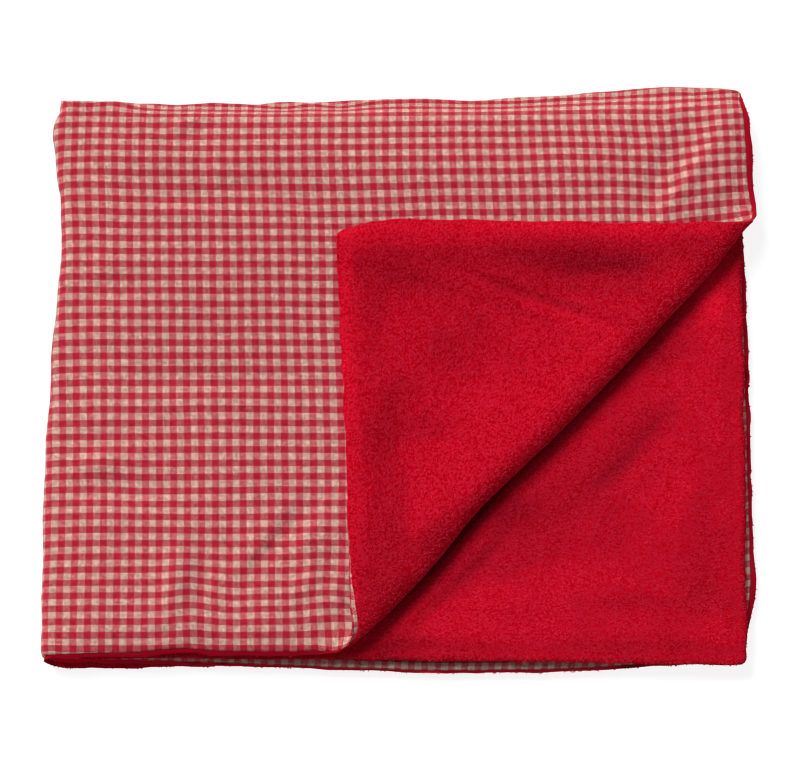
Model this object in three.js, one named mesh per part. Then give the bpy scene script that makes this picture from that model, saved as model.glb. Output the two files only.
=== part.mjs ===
import * as THREE from "three";

// A dog blanket folded in four: a gingham panel and a fleece panel sewn back to back.
// Millimetres, +Z up, +Y towards the first fold, -X the second fold, open edges at +X and -Y.

// Cloth, measured on the flat blanket from the crossing of its two folds
const halfWidth = 607;
const halfLength = 491;
const cornerRadius = 2.5;
const ginghamThick = 1.0;
const fleeceThick = 3.0;
const panelGap = 0.3;
const fleeceClear = 1.4;
const ginghamClear = 1.8;

// Sewn rim: the panels draw together and the fleece swells past the gingham
const rimWidth = 12;
const fleeceLip = 3.5;
const rimOffset = { ginghamOut: 0.0, ginghamIn: -0.75, fleeceIn: -1.45, fleeceOut: -2.7 };

// Offsets of the four cloth faces from the seam plane, gingham side positive
const faceOffset = {
  ginghamOut: panelGap / 2 + ginghamThick,
  ginghamIn: panelGap / 2,
  fleeceIn: -panelGap / 2,
  fleeceOut: -panelGap / 2 - fleeceThick,
};

// First fold: a hairpin with fleece inside. Second fold: the hairpin turned about a level axis
const noseRadius = fleeceClear / 2 - faceOffset.fleeceOut;
const innerReach = ginghamClear / 2 + faceOffset.ginghamOut;
const noseReach = innerReach + noseRadius;
const outerReach = innerReach + 2 * noseRadius;
const bendHeight = outerReach + faceOffset.ginghamOut;
const noseArc = (Math.PI / 2) * noseRadius;
const bendArc = (Math.PI / 2) * outerReach;

// Turned-back corner of the top layer: a loose roll along a straight line of the flat cloth
const turnStart = { across: 583.4, along: -125 };
const turnEnd = { across: 251.4, along: -472.7 };
const turnHalfWidth = 20;
const turnHalfUnder = 6;
const turnHalfOver = 10.5;
const turnGirth = Math.hypot(turnHalfWidth, turnHalfUnder) + Math.hypot(turnHalfWidth, turnHalfOver);
const turnArc = ((Math.PI / 2) * turnGirth) / Math.SQRT2;
const turnDivisions = 8;
const flapStretch = 1.094;
const flapLean = 0.085;
const flapSettle = 62;
const flapClear = 1.2;

// The roll is flatter near its ends and narrower in places, by distance along it
const turnPinch = 4.5;
const pinchStart = { from: -34, to: 40 };
const pinchEnd = { from: 505, to: 430 };
const waistRows = [
  { place: 0, reach: 30, draw: 4.0 },
  { place: 200, reach: 80, draw: 1.7 },
  { place: 318, reach: 62, draw: 6.5 },
  { place: 490, reach: 28, draw: 3.0 },
];

// The turned corner lies shifted along the roll, less towards the front
const flapSlide = 4.5;
const slideEnd = { from: 500, to: 380 };

// The turned corner's tip hangs a little lower than the rest of its edge
const tipDrop = 11;
const tipAlong = 42;
const tipAcross = 40;
const tipCurve = 1.5;

// Upper fold line lying behind the lower one, drooping past it
const droopDepth = 8.5;
const droopStart = 6;
const droopFade = 150;
const fadeWidth = 45;

// Outline of each layer in plan. Crest: line of the first fold. Fronts: open edges of the outer
// cloth (top and bottom layers) and of the inner cloth (the two layers between)
const widthRows = [
  { across: -607, crest: 236, outerFront: -230, innerFront: -229 },
  { across: -579, crest: 235.5, outerFront: -234, innerFront: -235 },
  { across: -521, crest: 235, outerFront: -237, innerFront: -239 },
  { across: -448, crest: 234, outerFront: -241, innerFront: -243.3 },
  { across: -331, crest: 232.5, outerFront: -242.3, innerFront: -244.2 },
  { across: -223, crest: 231.5, outerFront: -238.1, innerFront: -240.5 },
  { across: -163, crest: 232.5, outerFront: -236.5, innerFront: -238 },
  { across: -69, crest: 239, outerFront: -238, innerFront: -235 },
  { across: -12, crest: 247, outerFront: -237, innerFront: -233 },
  { across: 0, crest: 250, outerFront: -234, innerFront: -232 },
  { across: 14, crest: 252, outerFront: -232.5, innerFront: -232 },
  { across: 40, crest: 251.6, outerFront: -231.2, innerFront: -231.3 },
  { across: 90, crest: 251, outerFront: -229.7, innerFront: -231.1 },
  { across: 120, crest: 251.5, outerFront: -227.4, innerFront: -231.1 },
  { across: 164, crest: 252.5, outerFront: -229.7, innerFront: -231.1 },
  { across: 210, crest: 253.5, outerFront: -229.7, innerFront: -231.3 },
  { across: 252, crest: 254.3, outerFront: -226.8, innerFront: -231.5 },
  { across: 305, crest: 256.9, outerFront: -228.5, innerFront: -232.7 },
  { across: 375, crest: 256, outerFront: -229.5, innerFront: -233.2 },
  { across: 440, crest: 259.7, outerFront: -230, innerFront: -233.6 },
  { across: 516, crest: 266.3, outerFront: -231, innerFront: -235.2 },
  { across: 580, crest: 267.3, outerFront: -231, innerFront: -236.1 },
  { across: 607, crest: 265.4, outerFront: -231, innerFront: -236 },
];

// Open side edges of the upper and lower halves
const lengthRows = [
  { along: -491, upperRight: 305, lowerRight: 286 },
  { along: -360, upperRight: 305, lowerRight: 292 },
  { along: -260, upperRight: 305, lowerRight: 294 },
  { along: -150, upperRight: 304.5, lowerRight: 294 },
  { along: -105, upperRight: 304, lowerRight: 294 },
  { along: -44, upperRight: 302.5, lowerRight: 294 },
  { along: 0, upperRight: 299, lowerRight: 294 },
  { along: 130, upperRight: 293.6, lowerRight: 297 },
  { along: 212, upperRight: 291.6, lowerRight: 297.8 },
  { along: 330, upperRight: 289, lowerRight: 297 },
  { along: 408, upperRight: 286.5, lowerRight: 296.5 },
  { along: 434, upperRight: 285.6, lowerRight: 296.5 },
  { along: 458, upperRight: 284.5, lowerRight: 293.5 },
  { along: 491, upperRight: 281, lowerRight: 288 },
];

// Axis of the second fold and its sideways waver, by distance from the first fold
const leftRows = [
  { along: 0, shift: -2.5 },
  { along: 22, shift: -4.8 },
  { along: 56, shift: -1.5 },
  { along: 96, shift: 4.3 },
  { along: 135, shift: 6 },
  { along: 186, shift: 3.8 },
  { along: 216, shift: 1.4 },
  { along: 256, shift: 1 },
  { along: 301, shift: -0.8 },
  { along: 360, shift: -1.3 },
  { along: 414, shift: -0.2 },
  { along: 491, shift: 0.6 },
];
const leftFoldX = -289.5;

// The lower half of the second fold steps in towards the front edge
const stepShift = 7;
const stepFrom = 395;
const stepTo = 480;
const stepStart = 4;

// Soft swells between the layers, in plan: half-lengths and half-widths, turn in degrees, rise
const lowSwells = [
  { x: -120, y: -60, length: 190, width: 110, turn: 15, rise: 1.6 },
  { x: 160, y: 60, length: 150, width: 90, turn: -30, rise: 1.4 },
];
const midSwells = [
  { x: -170, y: 60, length: 150, width: 90, turn: 60, rise: 1.5 },
  { x: 120, y: -120, length: 130, width: 45, turn: 42, rise: 1.8 },
  { x: 215, y: -60, length: 90, width: 40, turn: 70, rise: 1.4 },
  { x: 230, y: -190, length: 80, width: 40, turn: -20, rise: 1.5 },
  { x: 60, y: 190, length: 220, width: 50, turn: 4, rise: 1.6 },
];
const topSwells = [
  { x: -235, y: 205, length: 60, width: 26, turn: -12, rise: 3.2 },
  { x: -120, y: 205, length: 70, width: 24, turn: 8, rise: 2.6 },
  { x: 20, y: 195, length: 90, width: 26, turn: -4, rise: 2.8 },
  { x: 175, y: 200, length: 70, width: 28, turn: 20, rise: 2.6 },
  { x: 275, y: 195, length: 60, width: 24, turn: 64, rise: 3.4 },
  { x: -180, y: 95, length: 110, width: 60, turn: 20, rise: 2.6 },
  { x: -150, y: -60, length: 140, width: 60, turn: 75, rise: 2.4 },
  { x: -185, y: -195, length: 46, width: 20, turn: 86, rise: 2.6 },
  { x: -112, y: -190, length: 50, width: 22, turn: 95, rise: 2.8 },
  { x: -60, y: -170, length: 70, width: 22, turn: 80, rise: 2.4 },
];
const flapSwells = [
  { x: 40, y: 90, length: 90, width: 34, turn: -24, rise: 3.0 },
  { x: 120, y: 30, length: 90, width: 36, turn: -30, rise: 2.6 },
  { x: -20, y: -60, length: 110, width: 34, turn: 84, rise: 2.4 },
  { x: 190, y: 115, length: 90, width: 30, turn: 6, rise: 2.2 },
];

// Stretches of the rim where the gingham rolls out past the fleece or the fleece swells less or more
const rollRows = [
  { across: 345, along: -491, reach: 75, gingham: 3.0, fleece: -1.0 },
  { across: 607, along: -225, reach: 70, gingham: 1.0, fleece: -2.3 },
  { across: -607, along: 250, reach: 260, gingham: 0, fleece: -2.2 },
  { across: -607, along: 434, reach: 20, gingham: 0, fleece: 2.6 },
  { across: -300, along: 491, reach: 260, gingham: 0, fleece: -2.2 },
  { across: -300, along: -491, reach: 260, gingham: 0, fleece: -1.8 },
];

// Lines in which the flat cloth is divided: end, divisions from the line before
const acrossSpans = [
  { to: -halfWidth + rimWidth, parts: 1 },
  { to: -60, parts: 9 },
  { to: -bendArc, parts: 2 },
  { to: bendArc, parts: 6 },
  { to: 60, parts: 2 },
  { to: halfWidth - rimWidth, parts: 20 },
  { to: halfWidth, parts: 1 },
];
const alongSpans = [
  { to: -halfLength + rimWidth, parts: 1 },
  { to: -50, parts: 16 },
  { to: -noseArc, parts: 3 },
  { to: noseArc, parts: 6 },
  { to: 50, parts: 3 },
  { to: halfLength - rimWidth, parts: 10 },
  { to: halfLength, parts: 1 },
];
const cornerParts = 2;
const lineTolerance = 0.02;

function smoothStep(from, to, value) {
  const share = Math.min(1, Math.max(0, (value - from) / (to - from)));
  return share * share * (3 - 2 * share);
}

// Smooth curve through one column of a table
function tableValue(rows, key, column, at) {
  const last = rows.length - 1;
  if (at <= rows[0][key]) {
    return rows[0][column];
  }
  if (at >= rows[last][key]) {
    return rows[last][column];
  }
  const next = rows.findIndex((row) => row[key] > at);
  const slope = (row) => {
    const before = rows[Math.max(0, row - 1)];
    const after = rows[Math.min(last, row + 1)];
    return (after[column] - before[column]) / (after[key] - before[key]);
  };
  const [low, high] = [rows[next - 1], rows[next]];
  const step = high[key] - low[key];
  const share = (at - low[key]) / step;
  const rise = share * share * (3 - 2 * share);
  const leave = share * (1 - share) * (1 - share) * step * slope(next - 1);
  const arrive = share * share * (share - 1) * step * slope(next);
  return low[column] + (high[column] - low[column]) * rise + leave + arrive;
}

function swellHeight(rows, x, y) {
  let height = 0;
  for (const row of rows) {
    const turn = THREE.MathUtils.degToRad(row.turn);
    const along = (x - row.x) * Math.cos(turn) + (y - row.y) * Math.sin(turn);
    const over = (y - row.y) * Math.cos(turn) - (x - row.x) * Math.sin(turn);
    height += row.rise * Math.exp(-((along / row.length) ** 2) - (over / row.width) ** 2);
  }
  return height;
}

// Distance in from the cloth's rounded outline, and the way out to it
function rimAt(across, along) {
  const pastSide = Math.abs(across) - (halfWidth - cornerRadius);
  const pastEnd = Math.abs(along) - (halfLength - cornerRadius);
  const sideSign = Math.sign(across);
  const endSign = Math.sign(along);
  if (pastSide > 0 && pastEnd > 0) {
    const past = Math.hypot(pastSide, pastEnd);
    return {
      depth: cornerRadius - past,
      outAcross: (sideSign * pastSide) / past,
      outAlong: (endSign * pastEnd) / past,
    };
  }
  if (pastSide > pastEnd) {
    return { depth: cornerRadius - pastSide, outAcross: sideSign, outAlong: 0 };
  }
  return { depth: cornerRadius - pastEnd, outAcross: 0, outAlong: endSign };
}

// Section of the first fold: how far back from its crest, how far out from the second fold's axis
function hairpin(along, offset) {
  const radius = noseRadius + offset;
  if (along < -noseArc) {
    return { back: along + noseArc, reach: noseReach + radius };
  }
  if (along > noseArc) {
    return { back: noseArc - along, reach: noseReach - radius };
  }
  const turn = along / noseRadius;
  return { back: radius * Math.cos(turn), reach: noseReach - radius * Math.sin(turn) };
}

// The section carried along the lower half, round the second fold and along the upper half
function sweep(across, reach) {
  if (across > bendArc) {
    return { right: across - bendArc, height: reach };
  }
  if (across < -bendArc) {
    return { right: -across - bendArc, height: -reach };
  }
  const turn = across / outerReach;
  return { right: -reach * Math.cos(turn), height: reach * Math.sin(turn) };
}

// Crest of the first fold over a place in plan, in the lower (-1) or upper (1) half
function crestAt(half, x) {
  const across = bendArc + Math.max(0, x - leftFoldX);
  return tableValue(widthRows, "across", "crest", half * across);
}

// Height gained by each layer from the swells below it
function layerLift(upper, outer, x, y, right, back) {
  const sideFade = smoothStep(0, fadeWidth, right);
  const noseFade = smoothStep(0, fadeWidth, -back);
  const crest = crestAt(-1, x);
  const low = swellHeight(lowSwells, x, y) * smoothStep(0, fadeWidth, crest - y);
  if (!upper) {
    return outer ? 0 : low * sideFade * noseFade;
  }
  const droop = droopDepth * smoothStep(crest + droopStart, crestAt(1, x), y);
  const top = outer ? swellHeight(topSwells, x, y) * noseFade : 0;
  const swell = (low + swellHeight(midSwells, x, y) + top) * sideFade;
  return swell - droop * smoothStep(0, droopFade, right);
}

// Place of a point of the folded cloth before its corner is turned back
function foldedPoint(across, along, offset) {
  const section = hairpin(along, offset);
  const swept = sweep(across, section.reach);
  const upper = across >= 0;
  const outer = along <= 0;
  const frontColumn = outer ? "outerFront" : "innerFront";
  const rightColumn = upper ? "upperRight" : "lowerRight";
  const crest = tableValue(widthRows, "across", "crest", across);
  const front = tableValue(widthRows, "across", frontColumn, across);
  const stepIn = smoothStep(stepFrom, stepTo, Math.abs(along)) * smoothStep(stepStart, -bendArc, across);
  const axis = leftFoldX + tableValue(leftRows, "along", "shift", Math.abs(along)) + stepShift * stepIn;
  const edge = tableValue(lengthRows, "along", rightColumn, along);
  const wide = (edge - axis) / (halfWidth - bendArc);
  const long = (crest - front) / (halfLength - noseArc);
  const x = axis + swept.right * (swept.right > 0 ? wide : 1);
  const y = crest + section.back * (section.back < 0 ? long : 1);
  const lift = layerLift(upper, outer, x, y, swept.right, section.back);
  return new THREE.Vector3(x, y, bendHeight + swept.height + lift);
}

const turnLength = Math.hypot(turnStart.across - turnEnd.across, turnStart.along - turnEnd.along);
const turnLine = {
  across: (turnStart.across - turnEnd.across) / turnLength,
  along: (turnStart.along - turnEnd.along) / turnLength,
};
const turnWay = { across: turnLine.along, along: -turnLine.across };
const planStart = foldedPoint(turnStart.across, turnStart.along, 0);
const planEnd = foldedPoint(turnEnd.across, turnEnd.along, 0);
const planLine = new THREE.Vector3().subVectors(planStart, planEnd).setZ(0).normalize();
const planWay = new THREE.Vector3(planLine.y, -planLine.x, 0);

// How far a point of the top layer lies past the line of the roll
function pastTurn(across, along) {
  if (across < 0 || along > 0) {
    return -halfWidth;
  }
  return (across - turnStart.across) * turnWay.across + (along - turnStart.along) * turnWay.along;
}

// How much narrower the roll is at a distance along it
function waistDraw(down) {
  let draw = 0;
  for (const row of waistRows) {
    draw += row.draw * Math.exp(-(((down - row.place) / row.reach) ** 2));
  }
  return draw;
}

// Place of a point of the finished cloth, corner turned back over the top layer
function clothPoint(across, along, offset) {
  const past = pastTurn(across, along);
  if (past <= 0) {
    return foldedPoint(across, along, offset);
  }
  const foot = foldedPoint(across - past * turnWay.across, along - past * turnWay.along, 0);
  const down = (turnStart.across - across) * turnLine.across + (turnStart.along - along) * turnLine.along;
  const startFull = smoothStep(pinchStart.from, pinchStart.to, down);
  const endFull = smoothStep(pinchEnd.from, pinchEnd.to, down);
  const halfOver = turnHalfOver - turnPinch * (1 - startFull * endFull);
  const slide = flapSlide * smoothStep(slideEnd.from, slideEnd.to, down);
  if (past < turnArc) {
    const turn = (past / turnArc) * Math.PI;
    const halfHeight = turn < Math.PI / 2 ? turnHalfUnder : halfOver;
    foot.addScaledVector(planWay, (turnHalfWidth - waistDraw(down) - offset) * Math.sin(turn));
    foot.addScaledVector(planLine, slide * smoothStep(0, Math.PI, turn));
    foot.z += turnHalfUnder - (halfHeight - offset) * Math.cos(turn);
    return foot;
  }
  const reach = past - turnArc;
  foot.addScaledVector(planWay, -reach * flapStretch);
  foot.addScaledVector(planLine, slide + reach * flapLean);
  const tipNear = Math.max(0, 1 - (halfLength + along) / tipAlong);
  foot.y -= tipDrop * tipNear ** tipCurve * Math.exp(-Math.max(0, halfWidth - across) / tipAcross);
  const rest = 2 * faceOffset.ginghamOut + flapClear;
  const settle = smoothStep(0, flapSettle, reach);
  const under = bendHeight + outerReach + layerLift(true, true, foot.x, foot.y, droopFade, -fadeWidth);
  const swell = swellHeight(flapSwells, foot.x, foot.y) * settle;
  foot.z = under + (turnHalfUnder + halfOver) * (1 - settle) + rest * settle + swell - offset;
  return foot;
}

// Cutting the flat cloth into cells along straight lines
function lineSide(point, line) {
  const value = (point.across - line.across) * line.outAcross + (point.along - line.along) * line.outAlong;
  return Math.abs(value) < lineTolerance ? 0 : value;
}

function crossing(first, second, line) {
  const swap = second.across < first.across || (second.across === first.across && second.along < first.along);
  const [start, end] = swap ? [second, first] : [first, second];
  const startSide = lineSide(start, line);
  const share = startSide / (startSide - lineSide(end, line));
  return {
    across: start.across + (end.across - start.across) * share,
    along: start.along + (end.along - start.along) * share,
  };
}

function cutCell(cell, line) {
  const inside = [];
  const outside = [];
  cell.forEach((point, index) => {
    const next = cell[(index + 1) % cell.length];
    const here = lineSide(point, line);
    if (here <= 0) {
      inside.push(point);
    }
    if (here >= 0) {
      outside.push(point);
    }
    if (here * lineSide(next, line) < 0) {
      const middle = crossing(point, next, line);
      inside.push(middle);
      outside.push(middle);
    }
  });
  return { inside, outside };
}

function spanLines(start, spans) {
  const lines = [start];
  for (const span of spans) {
    const from = lines[lines.length - 1];
    for (let part = 1; part <= span.parts; part += 1) {
      lines.push(from + ((span.to - from) * part) / span.parts);
    }
  }
  return lines;
}

function cornerLines() {
  const lines = [];
  for (const sideSign of [-1, 1]) {
    for (const endSign of [-1, 1]) {
      for (let part = 0; part < cornerParts; part += 1) {
        const turn = ((part + 0.5) / cornerParts) * (Math.PI / 2);
        const outAcross = sideSign * Math.cos(turn);
        const outAlong = endSign * Math.sin(turn);
        lines.push({
          across: sideSign * (halfWidth - cornerRadius) + outAcross * cornerRadius,
          along: endSign * (halfLength - cornerRadius) + outAlong * cornerRadius,
          outAcross,
          outAlong,
        });
      }
    }
  }
  return lines;
}

function turnLines() {
  const lines = [];
  for (let part = 0; part <= turnDivisions; part += 1) {
    const past = (turnArc * part) / turnDivisions;
    lines.push({
      across: turnStart.across + past * turnWay.across,
      along: turnStart.along + past * turnWay.along,
      outAcross: turnWay.across,
      outAlong: turnWay.along,
    });
  }
  return lines;
}

function flatCells() {
  const acrossLines = spanLines(-halfWidth, acrossSpans);
  const alongLines = spanLines(-halfLength, alongSpans);
  let cells = [];
  for (let column = 1; column < acrossLines.length; column += 1) {
    for (let row = 1; row < alongLines.length; row += 1) {
      const [left, right] = [acrossLines[column - 1], acrossLines[column]];
      const [low, high] = [alongLines[row - 1], alongLines[row]];
      cells.push([
        { across: left, along: low },
        { across: right, along: low },
        { across: right, along: high },
        { across: left, along: high },
      ]);
    }
  }
  for (const line of cornerLines()) {
    cells = cells.map((cell) => cutCell(cell, line).inside).filter((cell) => cell.length > 2);
  }
  for (const line of turnLines()) {
    cells = cells.flatMap((cell) => {
      const halves = cutCell(cell, line);
      return [halves.inside, halves.outside].filter((half) => half.length > 2);
    });
  }
  return cells;
}

// One panel as a closed sheet between two faces of the cloth
function panelGeometry(cells, upFace, downFace, lip, rollColumn) {
  const positions = [];
  const triangles = [];
  const edges = new Map();
  const corners = new Map();
  const cornerIndex = (point) => {
    const name = `${point.across.toFixed(5)} ${point.along.toFixed(5)}`;
    if (!corners.has(name)) {
      corners.set(name, positions.length / 3);
      const rim = rimAt(point.across, point.along);
      const close = Math.max(0, 1 - rim.depth / rimWidth);
      let push = lip;
      for (const row of rollRows) {
        const away = Math.hypot(point.across - row.across, point.along - row.along);
        push += row[rollColumn] * Math.exp(-((away / row.reach) ** 2));
      }
      const past = pastTurn(point.across, point.along);
      push *= smoothStep(turnArc / 2, turnArc, Math.abs(past - turnArc / 2));
      const across = point.across + rim.outAcross * push * close;
      const along = point.along + rim.outAlong * push * close;
      for (const face of [upFace, downFace]) {
        const offset = faceOffset[face] + (rimOffset[face] - faceOffset[face]) * close;
        positions.push(...clothPoint(across, along, offset).toArray());
      }
    }
    return corners.get(name);
  };
  for (const cell of cells) {
    const mirrored = cell.every((point) => point.across * point.along >= 0);
    const loop = [...cell.slice(mirrored ? 1 : 0), ...cell.slice(0, mirrored ? 1 : 0)].map(cornerIndex);
    for (let index = 2; index < loop.length; index += 1) {
      const [first, second, third] = [loop[0], loop[index - 1], loop[index]];
      triangles.push(first, second, third, third + 1, second + 1, first + 1);
    }
    loop.forEach((corner, index) => {
      const next = loop[(index + 1) % loop.length];
      const back = `${next} ${corner}`;
      if (edges.has(back)) {
        edges.delete(back);
      } else {
        edges.set(`${corner} ${next}`, [corner, next]);
      }
    });
  }
  for (const [corner, next] of edges.values()) {
    triangles.push(corner + 1, next + 1, next, corner + 1, next, corner);
  }
  const geometry = new THREE.BufferGeometry();
  geometry.setAttribute("position", new THREE.Float32BufferAttribute(positions, 3));
  geometry.setIndex(triangles);
  return geometry;
}

const cells = flatCells();
const ginghamGeometry = panelGeometry(cells, "ginghamOut", "ginghamIn", 0, "gingham");
const fleeceGeometry = panelGeometry(cells, "fleeceIn", "fleeceOut", fleeceLip, "fleece");

// Centre of the footprint at the origin, underside on the ground
const bounds = new THREE.Box3();
for (const geometry of [ginghamGeometry, fleeceGeometry]) {
  geometry.computeBoundingBox();
  bounds.union(geometry.boundingBox);
}
const centre = bounds.getCenter(new THREE.Vector3());
for (const geometry of [ginghamGeometry, fleeceGeometry]) {
  geometry.translate(-centre.x, -centre.y, -bounds.min.z);
  geometry.computeVertexNormals();
}

const gingham = new THREE.Mesh(
  ginghamGeometry,
  new THREE.MeshStandardMaterial({ color: 0xb8505a, roughness: 0.9, metalness: 0 }),
);
gingham.name = "gingham_panel";

const fleece = new THREE.Mesh(
  fleeceGeometry,
  new THREE.MeshStandardMaterial({ color: 0xb20e25, roughness: 1, metalness: 0 }),
);
fleece.name = "fleece_panel";

const blanket = new THREE.Group();
blanket.name = "dog_blanket";
blanket.add(gingham, fleece);

export default blanket;
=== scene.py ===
import math

import bpy
import numpy as np
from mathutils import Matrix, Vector


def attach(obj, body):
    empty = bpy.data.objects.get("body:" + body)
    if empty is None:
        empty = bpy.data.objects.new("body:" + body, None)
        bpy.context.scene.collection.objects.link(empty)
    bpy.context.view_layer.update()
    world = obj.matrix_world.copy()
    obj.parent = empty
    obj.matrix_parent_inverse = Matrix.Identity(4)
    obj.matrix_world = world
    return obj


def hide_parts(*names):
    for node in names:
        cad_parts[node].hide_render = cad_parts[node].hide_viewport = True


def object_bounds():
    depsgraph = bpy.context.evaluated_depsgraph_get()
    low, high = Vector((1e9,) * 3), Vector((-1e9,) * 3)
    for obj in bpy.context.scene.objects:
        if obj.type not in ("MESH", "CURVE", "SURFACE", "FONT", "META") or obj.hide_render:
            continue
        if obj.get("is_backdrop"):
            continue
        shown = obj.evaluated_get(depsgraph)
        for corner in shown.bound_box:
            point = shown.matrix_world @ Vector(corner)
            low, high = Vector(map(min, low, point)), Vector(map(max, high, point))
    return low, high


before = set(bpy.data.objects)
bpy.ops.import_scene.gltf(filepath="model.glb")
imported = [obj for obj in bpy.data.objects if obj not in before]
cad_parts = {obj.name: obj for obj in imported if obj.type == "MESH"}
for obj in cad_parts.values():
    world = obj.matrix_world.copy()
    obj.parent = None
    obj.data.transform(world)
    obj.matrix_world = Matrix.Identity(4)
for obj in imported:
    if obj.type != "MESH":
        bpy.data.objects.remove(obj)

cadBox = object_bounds()
print("frame loaded", cadBox)

mm = 0.001
rng = np.random.default_rng(20)


def linearHex(code):  # sRGB hex to linear
    parts = [int(code[i:i + 2], 16) / 255 for i in (1, 3, 5)]
    lin = [p / 12.92 if p <= 0.04045 else ((p + 0.055) / 1.055) ** 2.4 for p in parts]
    return (*lin, 1.0)


def smoothStep(low, high, value):
    share = np.clip((value - low) / (high - low), 0.0, 1.0)
    return share * share * (3.0 - 2.0 * share)


def curveThrough(table, key, column, at):  # smooth curve through one column of a table
    knots = np.array(table[key], float)
    values = np.array(table[column], float)
    slopes = np.empty_like(values)
    slopes[1:-1] = (values[2:] - values[:-2]) / (knots[2:] - knots[:-2])
    slopes[0] = (values[1] - values[0]) / (knots[1] - knots[0])
    slopes[-1] = (values[-1] - values[-2]) / (knots[-1] - knots[-2])
    at = np.clip(at, knots[0], knots[-1])
    low = np.clip(np.searchsorted(knots, at, side="right") - 1, 0, len(knots) - 2)
    step = knots[low + 1] - knots[low]
    share = (at - knots[low]) / step
    rise = share * share * (3 - 2 * share)
    leave = share * (1 - share) ** 2 * step * slopes[low]
    arrive = share * share * (share - 1) * step * slopes[low + 1]
    return values[low] + (values[low + 1] - values[low]) * rise + leave + arrive


noiseGrid = rng.random((256, 256)) * 2 - 1


def softNoise(u, v, size, shift=0):  # smooth random field, -1 to 1, lumps of about one size
    a = u / size + 17.3 * shift
    b = v / size + 41.7 * shift
    i = np.floor(a).astype(int)
    j = np.floor(b).astype(int)
    fa = a - i
    fb = b - j
    fa = fa * fa * fa * (fa * (fa * 6 - 15) + 10)
    fb = fb * fb * fb * (fb * (fb * 6 - 15) + 10)
    g = lambda p, q: noiseGrid[p % 256, q % 256]
    low = g(i, j) * (1 - fa) + g(i + 1, j) * fa
    high = g(i, j + 1) * (1 - fa) + g(i + 1, j + 1) * fa
    return low * (1 - fb) + high * fb


# Cloth sizes in mm, flat blanket measured from the crossing of its two folds
cloth = {
    "halfWidth": 607.0, "halfLength": 491.0, "cornerRadius": 2.5,
    "ginghamThick": 1.0, "fleeceThick": 3.0, "panelGap": 0.3,
    "fleeceClear": 1.4, "ginghamClear": 1.8,
    "rimWidth": 12.0, "fleeceLip": 3.5,
    "centre": (0.567, 13.481),  # middle of the footprint
}
ginghamOut = cloth["panelGap"] / 2 + cloth["ginghamThick"]
ginghamIn = cloth["panelGap"] / 2
fleeceOut = -cloth["panelGap"] / 2 - cloth["fleeceThick"]
noseRadius = cloth["fleeceClear"] / 2 - fleeceOut
innerReach = cloth["ginghamClear"] / 2 + ginghamOut
noseReach = innerReach + noseRadius
outerReach = innerReach + 2 * noseRadius
bendHeight = outerReach + ginghamOut
noseArc = math.pi / 2 * noseRadius
bendArc = math.pi / 2 * outerReach

# Lines of the first fold and of the open edges, in plan
widthTable = {
    "across": [-607, -579, -521, -448, -331, -223, -163, -69, -12, 0, 14, 40, 90, 120, 164, 210, 252,
               305, 375, 440, 516, 580, 607],
    "crest": [236, 235.5, 235, 234, 232.5, 231.5, 232.5, 239, 247, 250, 252, 251.6, 251, 251.5, 252.5,
              253.5, 254.3, 256.9, 256, 259.7, 266.3, 267.3, 265.4],
    "outerFront": [-230, -234, -237, -241, -242.3, -238.1, -236.5, -238, -237, -234, -232.5, -231.2,
                   -229.7, -227.4, -229.7, -229.7, -226.8, -228.5, -229.5, -230, -231, -231, -231],
    "innerFront": [-229, -235, -239, -243.3, -244.2, -240.5, -238, -235, -233, -232, -232, -231.3,
                   -231.1, -231.1, -231.1, -231.3, -231.5, -232.7, -233.2, -233.6, -235.2, -236.1,
                   -236],
}
lengthTable = {
    "along": [-491, -360, -260, -150, -105, -44, 0, 130, 212, 330, 408, 434, 458, 491],
    "upperRight": [305, 305, 305, 304.5, 304, 302.5, 299, 293.6, 291.6, 289, 286.8, 286.6, 286.6, 285],
    "lowerRight": [286, 292, 294, 294, 294, 294, 294, 297, 297.8, 297, 296.5, 296, 291.5, 285],
}
leftTable = {
    "along": [0, 22, 56, 96, 135, 186, 216, 256, 301, 360, 414, 491],
    "shift": [-2.5, -4.8, -1.5, 4.3, 6, 3.8, 1.4, 1, -0.8, -1.3, -0.2, 0.6],
}
# Small pinches and bulges of the fold lines: distance along the line, half-width, push out
crestRipples = [
    (2, 7, 3.0), (57, 9, 0.7), (78, 8, -0.5), (110, 11, -1.0), (143, 11, 1.1),
    (180, 11, -1.3), (206, 12, 0.7), (228, 8, -0.5), (262, 12, 0.6), (330, 16, 0.5),
    (372, 14, -0.8), (410, 14, 0.7), (455, 14, -0.6), (497, 14, -0.7), (545, 18, 0.8),
]
leftRipples = [
    (0, 3, 4.0), (8, 10, -5.5), (33, 7, 0.6), (48, 6, -0.5), (72, 7, 0.5), (88, 6, -0.5),
    (108, 8, 0.5), (140, 9, -0.4), (168, 8, 0.6), (200, 9, -0.5), (232, 9, 0.6), (270, 9, -0.6),
    (304, 8, 0.6), (330, 8, -0.5), (372, 10, 0.5), (405, 8, -0.6), (440, 9, 0.6), (466, 7, -0.5),
]
rippleFade = 34.0
rippleFrom = (-10, 4)  # only the upper half of the left fold ripples
# The lower half of the left fold steps in at the front
lowerStep = {"shift": 7.0, "from": 395.0, "to": 480.0, "above": 4.0}
leftFoldX = -289.5
droop = {"depth": 8.5, "start": 6.0, "fade": 150.0}
fadeWidth = 45.0

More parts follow.
